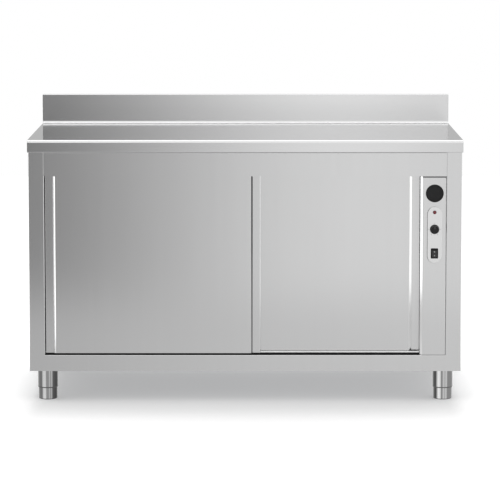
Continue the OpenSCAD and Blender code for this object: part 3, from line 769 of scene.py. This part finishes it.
made = frontPlate(
    "control_plate", (bezel.mid.x, faceY, bezel.mid.z), bezel.size.x, bezel.size.z, bezel.size.x / 2,
    layers, "plate", 30,
)
plateFront = bezel.low.y
cut(made, controlCutters(plateFront - cutOver, faceY + cutOver, False))
painted(made, "edge", getsPaintedEdgeShade)
worn(made, "bright_plate", "control_bezel")


# Air grille: a stepped rim with a woven mesh behind it
grilleSize = {
    "field": 0.0243, "fieldGap": 0.0002, "wirePitch": 0.0016, "wire": 0.00035, "wires": 29, "meshDepth": 0.0012,
    "backing": [(0.0227, 0.0), (0.0227, 0.0004)],
    "rim": [
        (0.0226, -0.006), (0.0236, -0.006), (0.0236, 0.0), (0.0288, 0.0), (0.0288, 0.0011), (0.0283, 0.0016),
        (0.0273, 0.0017), (0.0271, 0.0026), (0.0265, 0.003), (0.0247, 0.003), (0.0243, 0.0024),
        (0.0243, 0.0008), (0.0226, 0.0006),
    ],
}
grilleCentre = (grille.mid.x, faceY, grille.mid.z)
made = lathe("grille_rim", grilleSize["rim"], grilleCentre, "black", 128, "front", closed=True, smoothAngle=30)
worn(made, "black_plastic", "vent_grille")
worn(lathe("grille_backing", grilleSize["backing"], grilleCentre, "black", 96, "front"), "black_plastic")


# Wires of a round mesh: each is as long as the chord where it lies
def wovenMesh():
    weave = Pattern("woven_mesh", {
        "Field radius": grilleSize["field"] - grilleSize["fieldGap"], "Wire radius": grilleSize["wire"],
        "Wires": grilleSize["wires"], "Pitch": grilleSize["wirePitch"],
    })
    radius, wires, pitch = weave.given("Field radius"), weave.given("Wires"), weave.given("Pitch")
    row = weave.node("GeometryNodeMeshLine", {"mode": "OFFSET"}, {
        "Count": wires, "Offset": weave.vector(pitch),
        "Start Location": weave.vector((wires - 1) * pitch * -0.5),
    })
    rod = weave.node(
        "GeometryNodeMeshCylinder", values={"Vertices": 8, "Radius": weave.given("Wire radius"), "Depth": 1.0},
    )
    across = weave.node("ShaderNodeSeparateXYZ", values={0: weave.node("GeometryNodeInputPosition")})
    chord = weave.math("SQRT", radius * radius - across * across) * 2.0
    upright = weave.copies(row, rod, Scale=weave.vector(1.0, 1.0, chord))
    level = weave.moved(upright, (0, -grilleSize["wire"], 0), (0, math.radians(90), 0))
    place = (grille.mid.x, faceY - grilleSize["meshDepth"], grille.mid.z)
    weave.joined([weave.moved(part, place) for part in (upright, level)], "mesh")
    return weave


made = objectOf("grille_mesh", bpy.data.meshes.new("grille_mesh"))
worn(wovenMesh().applied(made), "black_plastic")
print("control panel and grille made")


# Thermostat knob: fluted grip over a skirt, with a grey pointer
knobSize = {
    "gap": 0.0006, "gripStart": 0.0048, "plainTop": 0.0105, "flutes": 18, "fluteDepth": 0.0009,
    "fluteFade": 0.0014, "fluteShape": 0.7, "shaft": 0.003, "shaftEnd": 0.0156, "shaftLap": 0.001,
    "pointer": [(-0.0006, 0.0, 0.003), (0.0006, 0.0012, 0.0106)],
    "profile": [
        (0.0147, 0.0), (0.015, 0.0004), (0.015, 0.0025), (0.0147, 0.0031), (0.0138, 0.0036), (0.0133, 0.0042),
        (0.0132, 0.0048), (0.013, 0.0062), (0.0125, 0.0148), *arc((0.0109, 0.0156), 0.0016, 0, 80, 6),
        (0.0096, 0.0172), (0.009, 0.0169),
    ],
}
knobCentre = (knob.mid.x, plateFront - knobSize["gap"], knobZ)


def flutedRadius(radius, height, angle):
    if height < knobSize["gripStart"] or radius < knobSize["plainTop"]:
        return radius
    fade = min(1.0, (height - knobSize["gripStart"]) / knobSize["fluteFade"])
    wave = max(0.0, math.cos(knobSize["flutes"] * angle)) ** knobSize["fluteShape"]
    return radius - knobSize["fluteDepth"] * fade * wave


made = lathe(
    "knob_grip", knobSize["profile"], knobCentre, "black", 216, "front", radiusAt=flutedRadius, smoothAngle=35,
)
worn(made, "black_plastic", "thermostat_knob", body="thermostat_knob")
shaftProfile = [(knobSize["shaft"], height) for height in (-knobSize["shaftEnd"], knobSize["shaftLap"])]
made = lathe("knob_shaft", shaftProfile, knobCentre, "black", 48, "front")
worn(made, "black_plastic", body="thermostat_knob")
made = blockPiece("knob_pointer", *knobSize["pointer"], "scale", (knob.mid.x, knob.low.y, knobZ))
worn(made, "black_plastic", body="thermostat_knob")


# Printed scale: ticks round the knob, placed by a pattern, and plain numbers at their angles
scaleSize = {
    "ink": 0.00006, "tick": [(-0.00022, -0.00006, 0.0162), (0.00022, 0.0, 0.0178)],
    "ticks": 10, "tickAngle": 30,
    "numbersOut": 0.0201, "numberSize": 0.0036, "numbers": {"0": 0, "30": 90, "50": 150, "70": 210, "90": 270},
}


def scaleTicks():
    ticks = Pattern("scale_ticks", {"Ticks": scaleSize["ticks"], "Step": math.radians(scaleSize["tickAngle"])})
    row = ticks.node(
        "GeometryNodeMeshLine", {"mode": "OFFSET"}, {"Count": ticks.given("Ticks"), "Offset": (0, 0, 0)},
    )
    turn = ticks.node("GeometryNodeInputIndex") * ticks.given("Step")
    placed = ticks.copies(row, ticks.given("Geometry"), Rotation=ticks.vector(y=turn))
    ticks.joined([ticks.moved(placed, (knob.mid.x, plateFront, knobZ))], "scale")
    return ticks


made = blockPiece("scale_ticks", *scaleSize["tick"], "scale")
worn(scaleTicks().applied(made), "bright_plate")


# Flat text on a plane that faces the front
def frontText(name, text, size, centre, finish):
    curve = bpy.data.curves.new(name, "FONT")
    curve.body = text
    curve.size = size
    curve.align_x = "CENTER"
    curve.align_y = "CENTER"
    curve.extrude = scaleSize["ink"] / 2
    written = objectOf(name, curve)
    mesh = finalMesh(written)
    bpy.data.objects.remove(written)
    mesh.transform(Matrix.Translation(centre) @ Matrix.Rotation(math.radians(90), 4, "X"))
    mesh.materials.clear()
    mesh.materials.append(materials[finish])
    return objectOf(name, mesh)


for text, turn in scaleSize["numbers"].items():
    x = knob.mid.x + scaleSize["numbersOut"] * math.sin(math.radians(turn))
    z = knobZ + scaleSize["numbersOut"] * math.cos(math.radians(turn))
    centre = (x, plateFront - scaleSize["ink"] / 2, z)
    made = frontText("scale_number_" + text, text, scaleSize["numberSize"], centre, "scale")
    worn(made, "bright_plate")


# Pilot lamp: a thin collar and a domed lens on its barrel
lampSize = {
    "collar": [(0.0052, 0.0), (0.006, 0.0), (0.006, 0.0009), (0.0057, 0.0013), (0.0053, 0.0012)],
    "barrel": [(0.0048, -0.014), (0.0048, 0.0), (0.0052, 0.0002), (0.0053, 0.0013)],
    "dome": 0.0052, "domeStart": 0.0013, "domeHeight": 0.0034,
}
lampCentre = (lamp.mid.x, plateFront, lampZ)
made = lathe("lamp_collar", lampSize["collar"], lampCentre, "black", 72, "front", closed=True)
worn(made, "red_lens")
lensProfile = lampSize["barrel"] + [
    (lampSize["dome"] * inward, lampSize["domeStart"] + lampSize["domeHeight"] * outward)
    for inward, outward in arc((0, 0), 1, 0, 80, 8)[1:]
]
worn(lathe("lamp_lens", lensProfile, lampCentre, "red_lens", 72, "front"), "red_lens", "pilot_light")


# Rocker switch: a softened frame, its body behind the panel and the rocker on its pins
switchSize = {
    "width": 0.024, "height": 0.033, "round": 0.0022, "well": [(-0.008, -0.003, -0.012), (0.008, 0.012, 0.012)],
    "body": [(-0.0103, 0.0, -0.0148), (0.0103, 0.025, 0.0148)], "pivotDepth": 0.004, "pin": 0.0015,
    "pinHalf": 0.009, "pinPlay": 0.0001, "pinEndPlay": 0.0002, "rockerHalf": 0.0075, "tilt": 7, "soft": 0.0005,
    "rim": [(0.0, 0.0), (0.0, 0.0012), (0.00025, 0.00165), (0.0007, 0.0019), (0.0012, 0.002)],
    "rockerLine": [
        (-0.008, -0.0113), (-0.0066, -0.0062), (-0.0057, -0.0025), (-0.0054, 0.0), (-0.0057, 0.0025),
        (-0.0066, 0.0062), (-0.008, 0.0113),
        (-0.001, 0.009), (0.003, 0.004), (0.003, -0.004), (-0.001, -0.009),
    ],
}
switchCentre = (switchX, plateFront, switchZ)
pivot = (switchX, plateFront + switchSize["pivotDepth"], switchZ)


def switchWell():
    return blockPiece("well", *switchSize["well"], "black", switchCentre)


# Round rod along the rocker's pins, as the pins or with some play as their bore
def pinRod(name, finish, play, endPlay):
    radius, reach = switchSize["pin"] + play, switchSize["pinHalf"] + endPlay
    return lathe(name, [(radius, -reach), (radius, reach)], pivot, finish, 32, "right")


made = frontPlate(
    "switch_rim", switchCentre, switchSize["width"], switchSize["height"], switchSize["round"],
    switchSize["rim"], "black", 30,
)
worn(cut(made, [switchWell()]), "black_plastic", "switch_frame")
made = blockPiece("switch_body", *switchSize["body"], "black", switchCentre)
bore = pinRod("bore", "black", switchSize["pinPlay"], switchSize["pinEndPlay"])
worn(cut(made, [switchWell(), bore]), "black_plastic")


# Turns a point of the rocker's own frame to where the rocker stands
def onRocker(x, y, z):
    tilt = Matrix.Rotation(math.radians(switchSize["tilt"]), 3, "X")
    return tuple(Vector(pivot) + tilt @ Vector((x, y, z)))


made = loft("rocker_cap", [
    [onRocker(side * switchSize["rockerHalf"], y, z) for y, z in switchSize["rockerLine"]] for side in (-1, 1)
], "rocker")
bevel = made.modifiers.new("soft", "BEVEL")
bevel.width = switchSize["soft"]
bevel.segments = 3
bevel.limit_method = "ANGLE"
bevel.angle_limit = math.radians(30)
worn(settled(made, 30), "grey_plastic", "switch_rocker", body="switch_rocker")
worn(pinRod("rocker_pins", "rocker", 0.0, 0.0), "grey_plastic", body="switch_rocker")


# Marks for on and off, each on its half of the rocker and just proud of it
markSize = {
    "place": 0.0062, "depth": -0.00677, "thick": 0.0003, "slope": math.atan2(0.0014, 0.0051),
    "bar": (0.0007, 0.0036, 0.0003), "ring": (0.0018, 0.0012), "ringEnd": 352.5, "ringSteps": 47,
}


def rockerMark(ring, z):
    slope = math.copysign(markSize["slope"], z)
    return [
        [onRocker(x, depth - y * math.sin(slope), z + y * math.cos(slope)) for x, y in ring]
        for depth in (markSize["depth"] + markSize["thick"], markSize["depth"])
    ]


made = loft("rocker_mark_on", rockerMark(roundedOutline(*markSize["bar"]), -markSize["place"]), "print")
worn(made, "grey_plastic", body="switch_rocker")
outer, inner = [
    rockerMark(arc((0, 0), radius, 0, markSize["ringEnd"], markSize["ringSteps"]), markSize["place"])
    for radius in markSize["ring"]
]
worn(loft("rocker_mark_off", outer + inner[::-1], "print", closed=True), "grey_plastic", body="switch_rocker")
print("controls made")


# Feet: a polished sleeve under the body and a screwed foot in it
footSize = {
    "sleeve": 0.0325, "bore": 0.031, "bush": 0.00805, "bushLow": 0.068, "foot": 0.0305, "round": 0.004,
    "barrel": 0.062, "stud": 0.008, "studTop": 0.098,
    "darkBelow": 0.045, "darkLip": -0.1, "darkRound": (-0.95, -0.25),
    "lip": [
        (0.031, 0.0383), (0.0313, 0.038), (0.0315, 0.038), (0.0318, 0.0384), (0.0324, 0.0406), (0.0325, 0.0414),
    ],
}


# Polished tube with painted reflections: lengthwise streaks of light and dark painted round it by angle
def paintedReflectionTube(name, centre, tones):
    make = Finish(name)
    x, y = make.along(0) - centre.x, make.along(1) - centre.y
    share = make.math("FRACT", make.math("ARCTAN2", x, y * -1.0) * (1 / math.pi) + 0.5)
    fine = make.noise((500, 500, 4))
    return make.finish(make.ramp(tones, share), fine * 0.05 + 0.08, (fine, 0.02, 0.0003), 1.0)


# Greys of the painted reflections round the tubes of the left and the right feet
paintedReflectionTones = {
    "left": [
        (0.0, 0.8), (0.2, 0.26), (0.31, 0.25), (0.355, 0.88), (0.435, 0.95), (0.475, 0.36), (0.55, 0.42),
        (0.575, 0.72), (0.6, 0.3), (0.635, 0.64), (0.69, 0.13), (0.86, 0.06), (0.97, 0.3), (1.0, 0.8),
    ],
    "right": [
        (0.0, 0.3), (0.17, 0.09), (0.25, 0.08), (0.33, 0.9), (0.4, 0.85), (0.45, 0.2), (0.52, 0.64),
        (0.56, 0.4), (0.6, 0.68), (0.65, 0.27), (0.8, 0.26), (1.0, 0.3),
    ],
}
sleeveProfile = footSize["lip"] + [
    (footSize["sleeve"], sidePanel.low.z), (footSize["bush"], sidePanel.low.z),
    (footSize["bush"], footSize["bushLow"]), (footSize["bore"], footSize["bushLow"]),
]
footRound = arc((footSize["foot"] - footSize["round"], footSize["round"]), footSize["round"], -90, 0, 10)
footProfile = footRound + [
    (footSize["foot"], footSize["barrel"]), (footSize["stud"], footSize["barrel"]),
    (footSize["stud"], footSize["studTop"]),
]


# Faces under the sleeve's lip, which get painted shade
def paintedShadeUnderLip(face):
    return face.normal.z < footSize["darkLip"] and face.center.z < footSize["darkBelow"]


# Faces of the foot's lower round, which get painted shade
def paintedShadeUnderRound(face):
    return footSize["darkRound"][0] < face.normal.z < footSize["darkRound"][1]


for row in ("front", "rear"):
    for hand in ("left", "right"):
        where = f"{row}_{hand}"
        centre = Place("sleeve_" + where).mid
        materials["tube_" + where] = paintedReflectionTube("polished_tube_" + where, centre, paintedReflectionTones[hand])
        axis = (centre.x, centre.y, 0)
        made = lathe(
            "sleeve_tube_" + where, sleeveProfile, axis, "tube_" + where, 128, closed=True, smoothAngle=30,
        )
        painted(made, "edge", paintedShadeUnderLip)
        worn(made, "polished_steel", "sleeve_" + where)
        made = lathe("foot_barrel_" + where, footProfile, axis, "tube_" + where, 128, smoothAngle=30)
        painted(made, "edge", paintedShadeUnderRound)
        worn(made, "polished_steel", "foot_" + where, body="foot_" + where)
print("feet made")


# Back panel: air slots behind the column, and screws placed by a pattern
backSize = {
    "slotWidth": 0.06, "slotHeight": 0.005, "slots": 8, "slotPitch": 0.014, "slotTop": 0.12,
    "slotCut": [(0.0, -0.002), (0.0, 0.004)], "columns": 5, "rows": 2,
    "screwInset": 0.035, "screwLow": 0.036, "screwHigh": 0.018, "screwHead": 0.004, "screwHeight": 0.0015,
    "crossHalf": (0.0021, 0.0004), "crossFloor": 0.0007, "crossTop": 0.003,
}
back = Place("back_panel")
backFace = back.high.y - sheet
made = blockPiece(
    "back_sheet", (back.low.x, backFace - sheet, back.low.z), (back.high.x, backFace, back.high.z), "upright",
)
slotTop = back.high.z - backSize["slotTop"]
cut(made, [
    frontPlate(
        "slot", (bezel.mid.x, backFace, slotTop - i * backSize["slotPitch"]), backSize["slotWidth"],
        backSize["slotHeight"], backSize["slotHeight"] / 2, backSize["slotCut"], "upright",
    )
    for i in range(backSize["slots"])
])
worn(made, "brushed_steel", "back_panel")


def screwRows():
    wide = -2 * (sidePanel.low.x + backSize["screwInset"])
    low, high = sidePanel.low.z + backSize["screwLow"], sidePanel.high.z - backSize["screwHigh"]
    rows = Pattern("screw_rows", {
        "Columns": backSize["columns"], "Rows": backSize["rows"], "Width": wide, "Height": high - low,
    })
    grid = rows.node("GeometryNodeMeshGrid", values={
        "Vertices X": rows.given("Columns"), "Vertices Y": rows.given("Rows"),
        "Size X": rows.given("Width"), "Size Y": rows.given("Height"),
    })
    stood = rows.moved(grid, (0, backFace, (low + high) / 2), (math.radians(90), 0, 0))
    rows.joined([rows.copies(stood, rows.given("Geometry"))], "galvanised_steel")
    return rows


headProfile = [(backSize["screwHead"], 0.0)] + [
    (backSize["screwHead"] * inward, -backSize["screwHeight"] * outward)
    for inward, outward in arc((0, 0), 1, 12, 84, 8)
]
made = lathe("screw_heads", headProfile, (0, 0, 0), "galvanised_steel", 32, "front", smoothAngle=30)
long, short = backSize["crossHalf"]
cut(made, [
    blockPiece("cross", (-x, backSize["crossFloor"], -z), (x, backSize["crossTop"], z), "galvanised_steel")
    for x, z in ((long, short), (short, long))
])
worn(screwRows().applied(made, 30), "brushed_steel")
print("back made")


# Stage: floor, world and a softbox, with cards in front, behind, above and at each side for reflections
studio = {
    "floor": (7.0, -3.3, 7.0, 0), "floorShade": 0.86, "floorGlow": 0.33,
    "speckle": 0.015, "sidewaysFade": 5.0, "floorPaintedShadow": [(0.0, 0.72), (0.1, 0.76), (0.3, 0.9), (0.6, 1.0)],
    "mirroredFloor": [
        (0.0, 1.0), (0.25, 1.0), (0.31, 0.44), (0.4, 0.45), (0.5, 0.57), (0.55, 0.605), (0.7, 0.63),
        (0.76, 1.0), (1.0, 1.0),
    ],
    "cardTones": [(0.0, 0.07), (0.2, 0.14), (0.34, 0.35), (0.5, 0.81), (0.61, 1.0), (0.75, 0.79), (1.0, 0.7)],
    "floorSpan": 8.0, "cardSpan": 4.0, "cardGlow": 1.2, "mirroredGlow": 1.4, "cardFade": 1.25,
    "card": (6.0, -3.3, 0, 1.75), "rearCard": (3.0, 1.0, 0.6, 1.6), "rearGlow": 0.57,
    "ceiling": (6.0, -7.0, 5.0, 3.0), "ceilingGlow": 1.3,
    "sidePlace": 4.5, "sideFront": -3.2, "sideBack": 0.5, "sideLow": 0.02, "sideHigh": 2.5, "sideGlow": 1.45,
    "softboxPlace": (0.0, 0.5, 2.7), "softboxSize": (3.0, 0.9), "softboxPower": 10.0,
    "world": 1.0,
}


def flatPiece(name, corners, material):
    mesh = bpy.data.meshes.new(name)
    mesh.from_pydata(corners, [], [tuple(range(len(corners)))])
    mesh.materials.append(material)
    made = objectOf(name, mesh)
    return made


# Level and upright pieces from a half width and three places
def levelPiece(name, half, front, rear, z, material):
    return flatPiece(name, [(-half, front, z), (half, front, z), (half, rear, z), (-half, rear, z)], material)


def uprightCard(name, half, y, low, high, material):
    return flatPiece(name, [(-half, y, low), (half, y, low), (half, y, high), (-half, y, high)], material)


# Grey that changes from left to right over a width
def acrossRamp(make, stops, width):
    return make.ramp(stops, make.along(0) * (1 / width) + 0.5)


# Distance from the cabinet's outline on the floor, counted more to the sides, which sets the floor's painted
# shadow
def distanceOut(make):
    apart = []
    for axis, half, weight in ((0, -sidePanel.high.x, studio["sidewaysFade"]), (1, top.high.y, 1.0)):
        beyond = make.math("MAXIMUM", make.math("ABSOLUTE", make.along(axis)) - half, 0.0)
        apart.append(beyond * weight)
    return make.math("SQRT", apart[0] * apart[0] + apart[1] * apart[1])


# A pale floor for the camera; reflections see tones of their own, which pass into the card's at its foot
def floorFinish():
    make = Finish("pale_floor")
    # Painted shadow: the floor's colour and glow are darker near the cabinet
    near = make.ramp(studio["floorPaintedShadow"], distanceOut(make))
    speckle, shade = studio["speckle"], (studio["floorShade"],) * 3
    grain = make.mottled(make.noise((40, 40, 40), detail=3.0), shade, 1 - speckle, 1 + speckle)
    settings = {"data_type": "RGBA", "blend_type": "MULTIPLY"}
    colour = make.node("ShaderNodeMix", settings, {0: 1.0, 6: grain, 7: near}, out=2)
    lit = make.node("ShaderNodeBsdfDiffuse", values={"Color": colour})
    seen = make.node("ShaderNodeAddShader", values={0: lit, 1: make.glow(near, studio["floorGlow"])})
    share = studio["cardGlow"] / studio["mirroredGlow"]
    cardTones = [(place, tone * share) for place, tone in studio["cardTones"]]
    cardTones = acrossRamp(make, cardTones, studio["cardSpan"])
    floorTones = acrossRamp(make, studio["mirroredFloor"], studio["floorSpan"])
    away = (make.along(1) - studio["floor"][1]) * (1 / studio["cardFade"])
    settings = {"data_type": "RGBA", "clamp_factor": True}
    tones = make.node("ShaderNodeMix", settings, {0: away, 6: cardTones, 7: floorTones}, out=2)
    mirrored = make.glow(tones, studio["mirroredGlow"])
    glossy = make.node("ShaderNodeLightPath", out=3)
    return make.surface(make.node("ShaderNodeMixShader", values={0: glossy, 1: seen, 2: mirrored}))


def glowing(name, strength, stops=None):
    make = Finish(name)
    colour = acrossRamp(make, stops, studio["cardSpan"]) if stops else (1, 1, 1, 1)
    return make.surface(make.glow(colour, strength))


levelPiece("floor", *studio["floor"], floorFinish())
cards = [
    uprightCard(
        "graded_card", *studio["card"], glowing("graded_card", studio["cardGlow"], studio["cardTones"]),
    ),
    uprightCard("rear_card", *studio["rearCard"], glowing("rear_card", studio["rearGlow"])),
]
sideGlow = glowing("side_card", studio["sideGlow"])
front, rear, low, high = [studio[key] for key in ("sideFront", "sideBack", "sideLow", "sideHigh")]
for side in (-1, 1):
    x = side * studio["sidePlace"]
    corners = [(x, front, low), (x, rear, low), (x, rear, high), (x, front, high)]
    cards.append(flatPiece("side_card", corners, sideGlow))
cards.append(levelPiece("ceiling_card", *studio["ceiling"], glowing("ceiling_card", studio["ceilingGlow"])))
for card in cards:
    card.visible_camera = False
    card.visible_diffuse = False
    card.visible_shadow = False

softboxData = bpy.data.lights.new("softbox", "AREA")
softboxData.shape = "RECTANGLE"
softboxData.size, softboxData.size_y = studio["softboxSize"]
softboxData.energy = studio["softboxPower"]
softbox = objectOf("softbox", softboxData)
softbox.location = studio["softboxPlace"]

world = bpy.data.worlds.new("white_studio")
world.use_nodes = True
background = world.node_tree.nodes["Background"]
background.inputs["Color"].default_value = (1, 1, 1, 1)
background.inputs["Strength"].default_value = studio["world"]
bpy.context.scene.world = world
bpy.context.scene.view_settings.view_transform = "Standard"
print("stage set")
